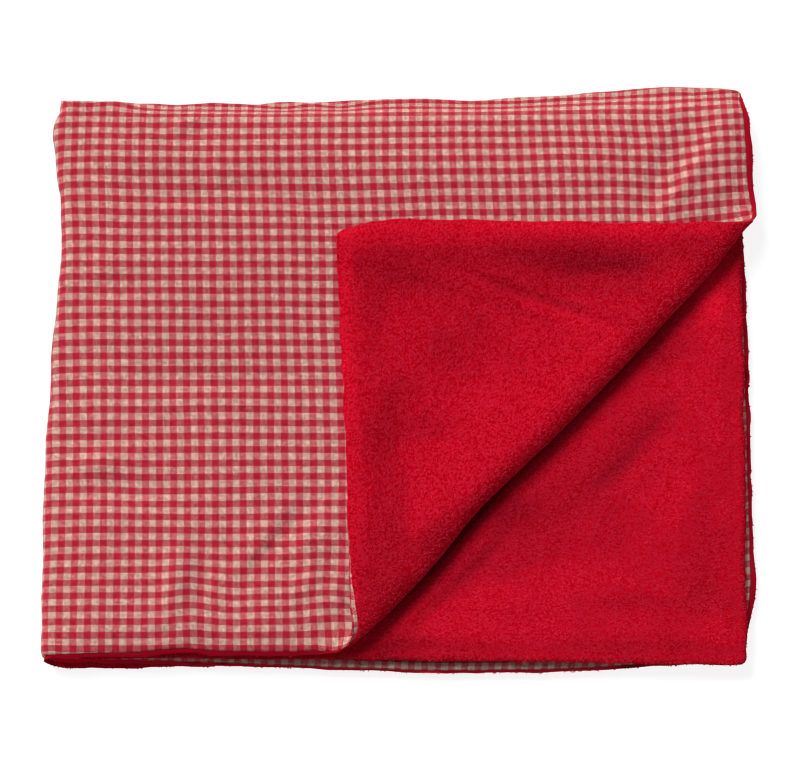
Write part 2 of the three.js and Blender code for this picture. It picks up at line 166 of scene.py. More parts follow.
# Swells between the layers: x, y, half-length, half-width, turn in degrees, rise
lowSwells = [
    (-120, -60, 190, 110, 15, 1.6),
    (160, 60, 150, 90, -30, 1.4),
]
midSwells = [
    (-170, 60, 150, 90, 60, 1.5),
    (120, -120, 130, 45, 42, 1.8),
    (215, -60, 90, 40, 70, 1.4),
    (230, -190, 80, 40, -20, 1.5),
    (60, 190, 220, 50, 4, 1.6),
]
topSwells = [
    (-235, 205, 60, 26, -12, 3.2),
    (-120, 205, 70, 24, 8, 2.6),
    (20, 195, 90, 26, -4, 2.8),
    (175, 200, 70, 28, 20, 2.6),
    (275, 195, 60, 24, 64, 3.4),
    (-180, 95, 110, 60, 20, 2.6),
    (-150, -60, 140, 60, 75, 2.4),
    (-185, -195, 46, 20, 86, 2.6),
    (-112, -190, 50, 22, 95, 2.8),
    (-60, -170, 70, 22, 80, 2.4),
]
flapSwells = [
    (40, 90, 90, 34, -24, 3.0),
    (120, 30, 90, 36, -30, 2.6),
    (-20, -60, 110, 34, 84, 2.4),
    (190, 115, 90, 30, 6, 2.2),
]

# Turned-back corner: a loose roll along a straight line of the flat cloth
turn = {
    "start": (583.4, -125.0), "end": (251.4, -472.7), "halfWidth": 20.0, "halfUnder": 6.0, "halfOver": 10.5,
    # the roll is flatter near its ends
    "pinch": 4.5, "pinchStart": (-34.0, 40.0), "pinchEnd": (505.0, 430.0),
    "stretch": 1.094, "lean": 0.085, "settle": 62.0, "clear": 1.2,
    "tipDrop": 11.0, "tipAlong": 42.0, "tipAcross": 40.0, "tipCurve": 1.5, "tipMost": 1.1,
    "rimRise": 1.9, "rimPlace": 7.0, "rimSpread": 8.0,
    "slide": 4.5, "slideEnd": (500.0, 380.0),  # the flap lies shifted along the roll, less at its front end
    # narrower stretches of the roll: place along it, reach, draw
    "waist": [(0, 30, 4.0), (200, 80, 1.7), (243, 42, 0.6), (318, 62, 6.5), (490, 28, 3.0)],
}
turnGirth = sum(math.hypot(turn["halfWidth"], turn[k]) for k in ("halfUnder", "halfOver"))
turnArc = math.pi / 2 * turnGirth / math.sqrt(2)


def swellHeight(rows, x, y):
    height = np.zeros_like(x)
    for rowX, rowY, length, width, angle, rise in rows:
        c, s = math.cos(math.radians(angle)), math.sin(math.radians(angle))
        along = (x - rowX) * c + (y - rowY) * s
        over = (y - rowY) * c - (x - rowX) * s
        height += rise * np.exp(-(along / length) ** 2 - (over / width) ** 2)
    return height


def rimAt(across, along):  # depth in from the rounded outline, and the way out
    pastSide = np.abs(across) - (cloth["halfWidth"] - cloth["cornerRadius"])
    pastEnd = np.abs(along) - (cloth["halfLength"] - cloth["cornerRadius"])
    corner = (pastSide > 0) & (pastEnd > 0)
    past = np.where(corner, np.hypot(pastSide, pastEnd), np.maximum(pastSide, pastEnd))
    safe = np.where(past == 0, 1, past)
    outAcross = np.where(corner, pastSide / safe, (pastSide > pastEnd) * 1.0) * np.sign(across)
    outAlong = np.where(corner, pastEnd / safe, (pastSide <= pastEnd) * 1.0) * np.sign(along)
    return cloth["cornerRadius"] - past, outAcross, outAlong


def roundCorners(across, along):  # a square net of points drawn in to rounded corners
    r = cloth["cornerRadius"]
    a = np.clip(np.abs(across) - (cloth["halfWidth"] - r), 0, r)
    b = np.clip(np.abs(along) - (cloth["halfLength"] - r), 0, r)
    newA = a * np.sqrt(1 - b * b / (2 * r * r))
    newB = b * np.sqrt(1 - a * a / (2 * r * r))
    return across + np.sign(across) * (newA - a), along + np.sign(along) * (newB - b)


def rippleAt(rows, at):
    return sum(push * np.exp(-((at - place) / width) ** 2) for place, width, push in rows)


def hairpin(along, offset):  # section of the first fold
    radius = noseRadius + offset
    angle = np.clip(along / noseRadius, -math.pi / 2, math.pi / 2)
    back = radius * np.cos(angle)
    reach = noseReach - radius * np.sin(angle)
    back = np.where(along < -noseArc, along + noseArc, np.where(along > noseArc, noseArc - along, back))
    return back, reach


def sweep(across, reach):  # the section carried round the second fold
    angle = np.clip(across / outerReach, -math.pi / 2, math.pi / 2)
    right = -reach * np.cos(angle)
    height = reach * np.sin(angle)
    right = np.where(np.abs(across) > bendArc, np.abs(across) - bendArc, right)
    return right, height


def crestAt(half, x):
    across = bendArc + np.maximum(0, x - leftFoldX)
    return curveThrough(widthTable, "across", "crest", half * across)


def layerLift(upper, outer, x, y, right, back):
    sideFade = smoothStep(0, fadeWidth, right)
    noseFade = smoothStep(0, fadeWidth, -back)
    crest = crestAt(-1, x)
    low = swellHeight(lowSwells, x, y) * smoothStep(0, fadeWidth, crest - y)
    sink = droop["depth"] * smoothStep(crest + droop["start"], crestAt(1, x), y)
    top = swellHeight(topSwells, x, y) * noseFade * outer
    mid = swellHeight(midSwells, x, y)
    upLift = (low + mid + top) * sideFade - sink * smoothStep(0, droop["fade"], right)
    downLift = low * sideFade * noseFade * (1 - outer)
    return np.where(upper, upLift, downLift)


def foldedPoint(across, along, offset):
    back, reach = hairpin(along, offset)
    right, height = sweep(across, reach)
    upper = across >= 0
    outer = (along <= 0) * 1.0
    crest = curveThrough(widthTable, "across", "crest", across)
    front = np.where(outer > 0, curveThrough(widthTable, "across", "outerFront", across),
                     curveThrough(widthTable, "across", "innerFront", across))
    axis = leftFoldX + curveThrough(leftTable, "along", "shift", np.abs(along))
    stepIn = smoothStep(lowerStep["from"], lowerStep["to"], np.abs(along))
    stepIn = stepIn * smoothStep(lowerStep["above"], -bendArc, across)
    axis = axis + lowerStep["shift"] * stepIn
    shown = smoothStep(*rippleFrom, across)
    waver = rippleAt(leftRipples, np.abs(along)) * shown * np.exp(-np.maximum(right, 0) / rippleFade)
    edge = np.where(upper, curveThrough(lengthTable, "along", "upperRight", along),
                    curveThrough(lengthTable, "along", "lowerRight", along))
    wide = (edge - axis) / (cloth["halfWidth"] - bendArc)
    long = (crest - front) / (cloth["halfLength"] - noseArc)
    x = axis + right * np.where(right > 0, wide, 1) - waver
    y = crest + back * np.where(back < 0, long, 1)
    y = y + rippleAt(crestRipples, across) * shown * np.exp(np.minimum(back, 0) / rippleFade)
    z = bendHeight + height + layerLift(upper, outer, x, y, right, back)
    return np.stack([x, y, z], -1)


turnLine = np.subtract(turn["start"], turn["end"])
turnLine = turnLine / np.linalg.norm(turnLine)
turnWay = np.array([turnLine[1], -turnLine[0]])
ends = foldedPoint(*np.array([turn["start"], turn["end"]]).T, np.zeros(2))
planLine = (ends[0] - ends[1]) * (1, 1, 0)
planLine = planLine / np.linalg.norm(planLine)
planWay = np.array([planLine[1], -planLine[0], 0])


def pastTurn(across, along):
    past = (across - turn["start"][0]) * turnWay[0] + (along - turn["start"][1]) * turnWay[1]
    return np.where((across > 0) & (along < 0), past, -1000.0)  # far from it on the other quarters


# Fine creases of the visible faces: x, y, half-length, half-width, turn in degrees, rise
ginghamCreases = [
    (-184, 164, 26, 6, -3, -1.8), (-188, 150, 42, 9, -8, 1.0), (-138, 175, 26, 6, 2, -1.5),
    (-205, 180, 30, 9, -10, -0.8), (-80, 165, 40, 5, -2, -0.9), (-72, 150, 20, 4.5, -35, -0.8),
    (-162, 190, 17, 4, 90, 0.9), (-168, 190, 17, 4, 90, -0.6), (-226, 232, 18, 5, -42, 1.3),
    (-208, 224, 20, 5, -40, -1.2), (-192, 232, 18, 6, 35, 1.2), (-176, 224, 16, 5, 38, -0.9),
    (236, 196, 45, 10, 57, -3.2), (250, 180, 38, 8, 55, 2.2), (203, 215, 22, 8, 58, -1.2),
    (288, 161, 12, 8, 0, -1.6), (281, 174, 14, 6, 20, 1.0), (-250, 82, 32, 12, 8, -1.8),
    (-255, 102, 30, 10, 5, 0.8), (-262, 24, 26, 10, -5, -1.4), (-162, 2, 75, 11, 0, -1.6),
    (-170, -18, 70, 10, 2, 0.9), (-263, -50, 26, 9, 3, -2.0), (-258, -72, 28, 9, 4, 1.5),
    (-236, -93, 48, 10, 0, -1.9), (-225, -118, 50, 12, -4, 0.8), (-120, -143, 42, 9, 54, 1.5),
    (-101, -136, 50, 9, 50, -1.5), (-75, -134, 18, 10, 60, 1.7), (-58, -161, 17, 9, 70, -2.0),
    (-80, -175, 17, 9, 40, 1.7), (-50, -203, 14, 9, 80, 1.7), (-187, -170, 28, 10, 85, 1.9),
    (-165, -170, 26, 8, 85, -1.4), (-196, -216, 13, 5, 6, -2.2), (-174, -214, 10, 6, 80, 1.4),
    (-79, -217, 13, 3, 100, -2.4), (-70, -212, 14, 5, 100, 1.6),
]
flapCreases = [
    (4, 96, 32, 14, -10, -1.6), (170, 103, 46, 10, 3, -1.6),
    (117, 69, 74, 4.5, -20.5, -1.8), (113, 59, 70, 6, -20.5, 1.4),
    (-4, -37, 30, 9, 80, -1.8), (-12, -110, 30, 8, 88, -1.8),
    (50, -67, 50, 30, 45, 1.5), (205, 80, 30, 9, -40, 1.0),
]
lowerCreases = [
    (186, -67, 40, 9, 45, -1.7), (200, -82, 40, 9, 45, 1.1),
    (100, -136, 36, 10, 27, -1.5), (96, -191, 42, 14, 0, 1.2),
    (258, -182, 14, 9, 0, -1.3), (235, -130, 40, 12, 75, 0.9),
]
# How far each face swells, and how it eases in from folds, roll and rim, mm
loft = {
    "gingham": 2.0, "flap": 1.6, "lower": 1.4, "soft": 0.5, "crease": 1.7,
    "fromLeft": 34, "fromBack": 26, "fromRoll": 30, "rim": (3.0, 20.0),
    "flapFrom": (0, 60), "lowerFrom": (-4, 24), "lowerFront": (60, 110),
}


def creaseLift(rows, base, x, y, fade):
    total = base + loft["crease"] * swellHeight(rows, x, y)
    return fade * np.logaddexp(0, total / loft["soft"]) * loft["soft"]


def clothPoint(across, along, offset, face):  # finished place of a point of the cloth, mm
    past = pastTurn(across, along)
    lie = np.maximum(past, 0)
    point = foldedPoint(across - lie * turnWay[0], along - lie * turnWay[1], np.where(past > 0, 0, offset))
    angle = np.clip(lie / turnArc, 0, 1) * math.pi
    down = (turn["start"][0] - across) * turnLine[0] + (turn["start"][1] - along) * turnLine[1]
    full = smoothStep(*turn["pinchStart"], down) * smoothStep(*turn["pinchEnd"], down)
    over = turn["halfOver"] - turn["pinch"] * (1 - full)
    halfWidth = turn["halfWidth"] - rippleAt(turn["waist"], down)
    rolled = point + planWay * ((halfWidth - offset) * np.sin(angle))[:, None]
    slide = turn["slide"] * smoothStep(*turn["slideEnd"], down)
    rolled += planLine * (slide * smoothStep(0, math.pi, angle))[:, None]
    half = np.where(angle < math.pi / 2, turn["halfUnder"], over)
    rolled[:, 2] += turn["halfUnder"] - (half - offset) * np.cos(angle)
    reach = np.maximum(lie - turnArc, 0)
    flap = point - planWay * (reach * turn["stretch"])[:, None]
    flap += planLine * (slide + reach * turn["lean"])[:, None]
    tipNear = np.clip(1 - (cloth["halfLength"] + along) / turn["tipAlong"], 0, turn["tipMost"])
    tipNear = tipNear ** turn["tipCurve"]
    tipSide = np.exp(-np.maximum(cloth["halfWidth"] - across, 0) / turn["tipAcross"])
    flap[:, 1] -= turn["tipDrop"] * tipNear * tipSide
    rest = 2 * ginghamOut + turn["clear"] + loft["gingham"]
    settle = smoothStep(0, turn["settle"], reach)
    x, y = flap[:, 0], flap[:, 1]
    farIn = np.full_like(x, droop["fade"])
    under = bendHeight + outerReach + layerLift(np.ones_like(x, bool), np.ones_like(x), x, y, farIn, -farIn)
    swell = swellHeight(flapSwells, x, y) * settle
    flap[:, 2] = under + (turn["halfUnder"] + over) * (1 - settle) + rest * settle + swell - offset
    depth = rimAt(across, along)[0]
    rimFade = smoothStep(*loft["rim"], depth)
    px, py = point[:, 0], point[:, 1]
    if face == "gingham":
        flat = (across > 0) & (along < 0) & (past <= 0)
        fade = smoothStep(bendArc, bendArc + loft["fromLeft"], across)
        fade = fade * smoothStep(noseArc, noseArc + loft["fromBack"], -along)
        fade = fade * rimFade * smoothStep(0, loft["fromRoll"], -past)
        point[:, 2] += np.where(flat, creaseLift(ginghamCreases, loft["gingham"], px, py, fade), 0)
    if face == "fleece":
        fade = rimFade * smoothStep(*loft["flapFrom"], reach)
        flap[:, 2] += creaseLift(flapCreases, loft["flap"], x, y, fade)
        rimRoll = np.exp(-((depth - turn["rimPlace"]) / turn["rimSpread"]) ** 2)
        flap[:, 2] += turn["rimRise"] * rimRoll * settle
        shown = (px - ends[0][0]) * planWay[0] + (py - ends[0][1]) * planWay[1]
        fade = rimFade * smoothStep(*loft["lowerFrom"], shown) * smoothStep(*loft["lowerFront"], along)
        point[:, 2] += np.where(across > 0, creaseLift(lowerCreases, loft["lower"], px, py, fade), 0)
    point = np.where(((past > 0) & (past <= turnArc))[:, None], rolled, point)
    return np.where((past > turnArc)[:, None], flap, point)


def toFrame(points):  # mm in plan to metres in the shared frame
    return (points - (*cloth["centre"], 0)) * mm


# Stretches of the rim where one panel rolls out past the other:
# across, along, reach, gingham push, fleece push
rollRows = [
    (345, -491, 75, 5.0, 1.2),
    (285, -491, 38, 2.0, -3.8),
    (607, -225, 70, 1.4, -2.3),
    (607, -135, 35, 0.0, -1.8),
    (607, -140, 26, 2.2, 2.2),
    (607, -2, 9, 1.2, -2.2),
    (607, -70, 42, -0.7, 1.3),
    (-607, 250, 260, -1.2, -1.6),
    (-607, 434, 20, 0.0, 2.0),
    (-300, 491, 260, 0.0, -2.2),
    (-300, -491, 260, 0.0, -1.8),
]
rimWave = {"long": 17, "short": 7, "shortShare": 0.6}  # mm from lump to lump of an uneven seam


def rimPush(across, along, lip, column, uneven):
    wave = softNoise(across, along, rimWave["long"], 1)
    wave = wave + rimWave["shortShare"] * softNoise(across, along, rimWave["short"], 2)
    push = lip + uneven * wave
    for row in rollRows:
        away = np.hypot(across - row[0], along - row[1])
        push += row[column] * np.exp(-(away / row[2]) ** 2)
    return push


def linesThrough(stops):  # (end, step) pairs to grid lines
    lines = [stops[0][0]]
    for end, step in stops[1:]:
        parts = max(1, round(abs(end - lines[-1]) / step))
        lines += list(np.linspace(lines[-1], end, parts + 1)[1:])
    return np.array(lines)


def sheetFaces(rows, columns, start):
    i, j = np.meshgrid(np.arange(rows - 1), np.arange(columns - 1), indexing="ij")
    a = start + i * columns + j
    return np.stack([a, a + columns, a + columns + 1, a + 1], -1).reshape(-1, 4)


def fewerLines(lines, gap):  # numbers of the lines kept for a hidden face
    kept = [0]
    for k in range(1, len(lines) - 1):
        if lines[k + 1] - lines[kept[-1]] > gap:
            kept.append(k)
    return np.array(kept + [len(lines) - 1])


# Places of the two faces in one square of the second UV map: size, corner
bakeLayout = {"outer": ((0.98, 0.79), (0.01, 0.2)), "inner": ((0.98, 0.17), (0.01, 0.01)), "rimStep": 0.012}


def makePanel(name, acrossLines, alongLines, gap, outerFace, innerFace, flipped, slip=None):
    # outer face on the full net, inner face on fewer lines of it, closed round the rim
    coarseA = fewerLines(acrossLines, gap)
    coarseB = fewerLines(alongLines, gap)
    nets = []
    for a, b, face in ((acrossLines, alongLines, outerFace),
                       (acrossLines[coarseA], alongLines[coarseB], innerFace)):
        across, along = [g.ravel() for g in np.meshgrid(a, b, indexing="ij")]
        across, along = roundCorners(across, along)
        nets.append((across, along, face(across, along)))
    nOut = len(nets[0][0])
    nA, nB = len(acrossLines), len(alongLines)
    cA, cB = len(coarseA), len(coarseB)
    outer = sheetFaces(nA, nB, 0)
    inner = sheetFaces(cA, cB, nOut)[:, ::-1]
    rim = []
    fineRing = [(i, 0) for i in range(nA)] + [(nA - 1, j) for j in range(1, nB)]
    fineRing += [(i, nB - 1) for i in range(nA - 2, -1, -1)] + [(0, j) for j in range(nB - 2, 0, -1)]
    coarseOf = {(coarseA[i], coarseB[j]): nOut + i * cB + j for i in range(cA) for j in range(cB)}
    held = coarseOf[fineRing[0]]
    for k, here in enumerate(fineRing):
        there = fineRing[(k + 1) % len(fineRing)]
        p, q = here[0] * nB + here[1], there[0] * nB + there[1]
        rim.append((p, q, held))
        if there in coarseOf:
            rim.append((q, coarseOf[there], held))
            held = coarseOf[there]
    faces = [tuple(f) for f in outer] + [tuple(f) for f in inner] + [f[::-1] for f in rim]
    if flipped:
        faces = [f[::-1] for f in faces]
    points = np.concatenate([nets[0][2], nets[1][2]])
    mesh = bpy.data.meshes.new(name)
    mesh.from_pydata(toFrame(points).tolist(), [], faces)
    flat = np.concatenate([np.stack([n[0], n[1]], -1) for n in nets])
    corner = np.empty(len(mesh.loops), int)
    mesh.loops.foreach_get("vertex_index", corner)
    pattern = flat if slip is None else flat + slip(flat[:, 0], flat[:, 1])
    uv = mesh.uv_layers.new(name="flatCloth")  # metres on the flat cloth
    uv.data.foreach_set("uv", (pattern[corner] * mm).astype(np.float32).ravel())
    share = flat / (2 * cloth["halfWidth"], 2 * cloth["halfLength"]) + 0.5
    (outerSize, outerAt), (innerSize, innerAt) = bakeLayout["outer"], bakeLayout["inner"]
    packed = np.where((np.arange(len(flat)) < nOut)[:, None],
                      share * outerSize + outerAt, share * innerSize + innerAt)[corner]
    rimLoops = 4 * (len(outer) + len(inner))
    rimFlat = share[corner[rimLoops:]]
    isInner = corner[rimLoops:] >= nOut
    rimStep = (rimFlat - 0.5) * bakeLayout["rimStep"] * isInner[:, None]
    packed[rimLoops:] = rimFlat * outerSize + outerAt + rimStep
    uv = mesh.uv_layers.new(name="OFBake")  # the flat cloth laid out in one square
    uv.data.foreach_set("uv", packed.astype(np.float32).ravel())
    mesh.polygons.foreach_set("use_smooth", np.ones(len(mesh.polygons), bool))
    mesh.update()
    piece = bpy.data.objects.new(name, mesh)
    bpy.context.collection.objects.link(piece)
    return piece


def rimProfile(across, along, face, rim):  # offset that rounds off towards the sewn rim
    depth, outAcross, outAlong = rimAt(across, along)
    close = np.clip(1 - depth / cloth["rimWidth"], 0, 1)
    return face + (rim - face) * (1 - np.sqrt(1 - close ** 2)), close, outAcross, outAlong


gingham = {
    "check": 5.8, "step": 2.9, "hiddenStep": 13.0,  # mm
    "rimTop": -0.6, "rimUnder": -0.9, "lip": -0.5, "uneven": 0.35,
    "frontPaintedShade": 0.38, "frontBand": (34, 16),  # painted shade on the front edge of the lower layers, under the layer above
    "paintedShadePatch": (140, -190, 130, 90, 0, 0.07),  # across, along, half-length, half-width, turn, depth of painted shade
}

# How the check lies on the top layer, in repeats counted from the left and from the back
checkColumns = {
    "x": [-320, -100, 0, 80, 160, 230, 330],
    "count": [-0.85, 17.8, 26.27, 33.1, 40.03, 46.28, 55.29],
}
checkLean = {
    "y": [-240, -115, -30, 57, 148, 194, 250],
    "count": [-1.1, -0.97, -0.8, -0.53, -0.27, -0.05, 0.0],
}
checkRows = {
    "y": [-245, -199.2, -157.1, -114.6, -28.3, 59.9, 149.8, 195.5, 241.8, 275],
    "count": [-42.55, -38.37, -34.51, -30.78, -23.27, -15.76, -8.09, -4.24, 0.0, 3.05],
}
checkLie = {
    "start": (0.31, 0.42), "waver": 0.05,  # repeats
    "waverSize": (60, 50),  # mm
    "tiltFrom": 222, "tilt": 0.0105, "tiltEase": 26,  # rows run askew towards the right end
    "gather": (13, -5),  # mm in from the fold line
    "fromLeft": (-60, -15), "fromBack": (-70, -20),
}
# Rows that gather where the cloth turns down over the first fold
checkGather = {
    "x": [-305, -273, -251, -225, -203, -182, -160, -134, -104, -78, -52, -26, 17, 60, 104, 147, 190,
          234, 260, 295],
    "count": [0.2, 0.35, 0.05, 0.8, 1.1, 1.0, 1.0, 1.1, 1.7, 1.2, 1.8, 1.0, 0.75, 0.9, 1.0, 0.7, 0.8,
              0.3, 0.7, 0.5],
}
# Local pull of the check: x, y, half-length, half-width, turn, repeats across, repeats along
pullRows = [
    (-172, -184, 16, 30, 0, 0.0, -0.26), (-138, -184, 18, 30, 0, 0.0, 0.12),
    (-62, -182, 20, 32, 0, 0.08, -0.32), (-40, -205, 14, 18, 0, 0.1, -0.2),
    (150, 215, 90, 40, 0, 0.0, -0.2), (-80, 160, 110, 34, 0, 0.0, 0.16),
    (-280, 150, 30, 110, 0, 0.04, -0.2), (200, 240, 90, 18, 0, 0.22, -0.1),
    (220, 150, 70, 22, 0, 0.18, -0.08), (50, 222, 60, 22, 0, 0.06, -0.15),
    (-90, -178, 60, 18, 0, 0.08, 0.15), (-160, 110, 60, 30, 0, -0.08, 0.08),
    (-120, 75, 90, 40, 0, 0.0, 0.12), (-170, -105, 70, 40, 0, 0.0, 0.1),
]


def checkPlace(across, along):  # flat check, with the stretch and pull it has on the top layer
    crest = curveThrough(widthTable, "across", "crest", across)
    front = curveThrough(widthTable, "across", "outerFront", across)
    axis = leftFoldX + curveThrough(leftTable, "along", "shift", np.abs(along))
    edge = curveThrough(lengthTable, "along", "upperRight", along)
    x = axis + (across - bendArc) * (edge - axis) / (cloth["halfWidth"] - bendArc)
    y = crest + (along + noseArc) * (crest - front) / (cloth["halfLength"] - noseArc)
    x = x - rippleAt(leftRipples, np.abs(along)) * np.exp(-np.abs(across - bendArc) / rippleFade)
    y = y + rippleAt(crestRipples, across) * np.exp(-np.abs(along + noseArc) / rippleFade)
    column = curveThrough(checkColumns, "x", "count", x) + curveThrough(checkLean, "y", "count", y)
    row = curveThrough(checkRows, "y", "count", y)
    rightTilt = np.maximum(0, x - checkLie["tiltFrom"])
    row = row - checkLie["tilt"] * rightTilt * smoothStep(0, checkLie["tiltEase"], rightTilt)
    row = row + curveThrough(checkGather, "x", "count", x) * smoothStep(*checkLie["gather"], crest - y)
    for rowX, rowY, length, width, angle, pullColumn, pullRow in pullRows:
        weight = swellHeight([(rowX, rowY, length, width, angle, 1.0)], x, y)
        column = column + pullColumn * weight
        row = row + pullRow * weight
    sizeA, sizeB = checkLie["waverSize"]
    column = column + checkLie["start"][0] + checkLie["waver"] * softNoise(x, y, sizeA, 3)
    row = row + checkLie["start"][1] + checkLie["waver"] * softNoise(x, y, sizeB, 4)
    repeat = 2 * gingham["check"]
    onTop = smoothStep(*checkLie["fromLeft"], across) * smoothStep(*checkLie["fromBack"], -along)
    onTop = onTop * smoothStep(turnArc, 0, pastTurn(across, along))
    away = np.stack([column * repeat - across, row * repeat - along], -1)
    away -= np.round(np.median(away, axis=0) / repeat) * repeat
    return away * onTop[:, None]


def ginghamFace(face, rim):
    def place(across, along):
        offset, close, outAcross, outAlong = rimProfile(across, along, face, rim)
        push = rimPush(across, along, gingham["lip"], 3, gingham["uneven"]) * close
        return clothPoint(across + outAcross * push, along + outAlong * push, offset, "gingham")
    return place


# Grid lines as (end, step) in mm: fine where the cloth shows or bends, coarse where it is hidden
w, l = cloth["halfWidth"], cloth["halfLength"]
rim = cloth["rimWidth"]
ginghamAcross = linesThrough([
    (-w, 0), (-w + rim, 2), (-40, gingham["hiddenStep"]), (-bendArc, 6), (bendArc, 2.4),
    (330, gingham["step"]), (w - 60, 4.2), (w - rim, gingham["step"]), (w, 1.5),
])
ginghamAlong = linesThrough([
    (-l, 0), (-l + rim, 1.5), (-40, gingham["step"]), (-noseArc, 2.4), (noseArc, 1.2),
    (40, 5), (l - rim, gingham["hiddenStep"]), (l, 2),
])
ginghamPiece = makePanel("gingham_cloth", ginghamAcross, ginghamAlong, gingham["hiddenStep"],
                         ginghamFace(ginghamOut, gingham["rimTop"]),
                         ginghamFace(ginghamIn, gingham["rimUnder"]), True, checkPlace)
across, along = roundCorners(*[g.ravel() for g in np.meshgrid(ginghamAcross, ginghamAlong, indexing="ij")])
# painted shade kept in the gingham's colour: the lower layers' front strip and a broad patch of the top layer
level = np.ones(len(ginghamPiece.data.vertices))
bandStart, bandFull = [l - inward for inward in gingham["frontBand"]]
level[:len(across)] = 1 - gingham["frontPaintedShade"] * smoothStep(bandStart, bandFull, along) * (across < 0)
level[:len(across)] -= swellHeight([gingham["paintedShadePatch"]], across, along)
toneLayer = ginghamPiece.data.attributes.new("ginghamPaintedShade", "FLOAT", "POINT")
toneLayer.data.foreach_set("value", level.astype(np.float32))
print("gingham cloth", sum(len(p.vertices) - 2 for p in ginghamPiece.data.polygons))

fleece = {
    "rimUp": -1.5, "rimDown": -1.8, "step": 2.8, "hiddenStep": 13.0, "uneven": 0.9, "hiddenFace": -0.9,
    "lumps": [(7.0, 0.22), (19.0, 0.35)],  # mm across, mm high
}


def fleeceFace(face, rim):
    def place(across, along):
        offset, close, outAcross, outAlong = rimProfile(across, along, face, rim)
        push = rimPush(across, along, cloth["fleeceLip"], 4, fleece["uneven"]) * close
        for k, (size, high) in enumerate(fleece["lumps"]):
            offset = offset - high * softNoise(across, along, size, 5 + k) * (face == fleeceOut)
        return clothPoint(across + outAcross * push, along + outAlong * push, offset, "fleece")
    return place


fleeceAcross = linesThrough([
    (-w, 0), (-w + rim, 2), (-40, fleece["hiddenStep"]), (-bendArc, 8), (bendArc, 3),
    (250, fleece["hiddenStep"]), (w - rim, fleece["step"]), (w, 1.5),
])
fleeceAlong = linesThrough([
    (-l, 0), (-l + rim, 1.5), (-120, fleece["step"]), (-noseArc, fleece["hiddenStep"]),
    (noseArc, 1.5), (120, fleece["hiddenStep"]), (l - rim, fleece["step"]), (l, 1.5),
])
fleeceOuter = fleeceFace(fleeceOut, fleece["rimDown"])
fleeceInner = fleeceFace(fleece["hiddenFace"], fleece["rimUp"])
fleecePiece = makePanel("fleece_cloth", fleeceAcross, fleeceAlong, fleece["hiddenStep"],
                        fleeceOuter, fleeceInner, False)
print("fleece cloth", sum(len(p.vertices) - 2 for p in fleecePiece.data.polygons))

# Nap: short brushed locks lying on the fleece, mm
# lean, spread and swirl in degrees, fan in radians, uneven in steps of tone, calm takes the raised locks,
# painted paler as a highlight, down in tone
nap = {
    "width": 1.3, "sink": 0.22,
    "curl": 0.2, "behind": 0.45, "ahead": 0.55,  # shares of a lock's length
    "lengths": (0.65, 1.35), "widths": (0.7, 1.3), "lifts": (0.5, 1.5),  # least and most, of the mean
    "corner": {"count": 48000, "across": (250, w), "along": (-l, -110), "length": 3.0, "lift": 0.3,
               "lean": 40.0, "spread": 50.0, "swirl": 25.0, "seed": 10, "uneven": 0.2, "calm": 0.1},
    "lower": {"count": 46000, "across": (250, w), "along": (100, l), "length": 2.6, "lift": 0.14,
              "lean": 4.0, "spread": 34.0, "swirl": 20.0, "seed": 12, "uneven": 0.06, "calm": 0.28},
    "rim": {"draws": 570000, "depth": 3.5, "offRoll": 4, "length": 2.3, "lift": 0.3,
            "fan": 0.5, "uneven": 0.3, "calm": 0.2},  # drawn all over the cloth, kept at its rim
    "drawsEach": 6, "swirlSize": 20,
    "pastLine": 1, "inFromRim": 1, "underRoll": 12,  # where the locks that show begin
    # paintedRimShade: painted shade at the rim, in steps of tone; paintedRimBand: its width, mm
    "paintedRimShade": 0.9, "paintedRimBand": 4, "patch": 24, "patchTone": 0.3, "lowShare": 0.6,
    "steps": [-2.5, -1.5, -0.5, 0.5, 1.5],  # tone at which the next of the six reds starts
    "rampMiddle": 0.52, "rampSteps": 5,
}
# Painted shade and highlight in the nap's red, laid where the flap and the lower layer are lit or shaded: x, y,
# half-length, half-width, turn, tone
flapPaintedLight = [
    (70, 108, 130, 12, 0, -0.85), (170, 100, 48, 12, 0, -1.7), (88, 83, 28, 9, -19, -0.8),
    (165, 78, 52, 13, -12, -0.6), (-12, 94, 24, 20, 0, -0.6), (8, 88, 30, 12, 0, -0.6),
    (150, 61, 40, 5, -20, -0.6), (205, 98, 22, 22, 0, -0.6), (-8, -40, 13, 34, 0, -0.8),
    (-8, -130, 11, 46, 0, -1.0), (-20, 40, 12, 40, 0, -0.2), (38, 32, 14, 14, 0, -0.5),
    (30, 84, 40, 10, -10, -0.4), (60, 40, 20, 26, 0, -0.4), (80, 0, 400, 400, 0, -0.2),
    (-48, 20, 9, 180, 0, 0.8), (130, 138, 190, 8, 0, 0.6), (-40, 136, 24, 14, 0, 0.4),
    (20, 124, 70, 9, 0, 0.4), (50, -66, 60, 24, 45, 0.3), (170, 45, 26, 20, 0, 0.2),
    (140, -10, 110, 16, 45, 0.55), (-24, -165, 12, 42, 0, -0.9), (-26, -52, 10, 26, 0, -0.5),
    (26, -136, 24, 10, 45, -1.1), (150, 115, 110, 10, 0, -0.5), (-22, 62, 14, 26, 0, -0.35),
    (2, -135, 10, 40, 0, -0.4), (186, 52, 20, 10, -20, -0.5), (110, 118, 40, 8, 0, -0.35),
    (250, 118, 22, 12, 0, -0.45), (26, -44, 26, 12, 0, -0.4), (8, -8, 16, 10, 0, -0.35),
]
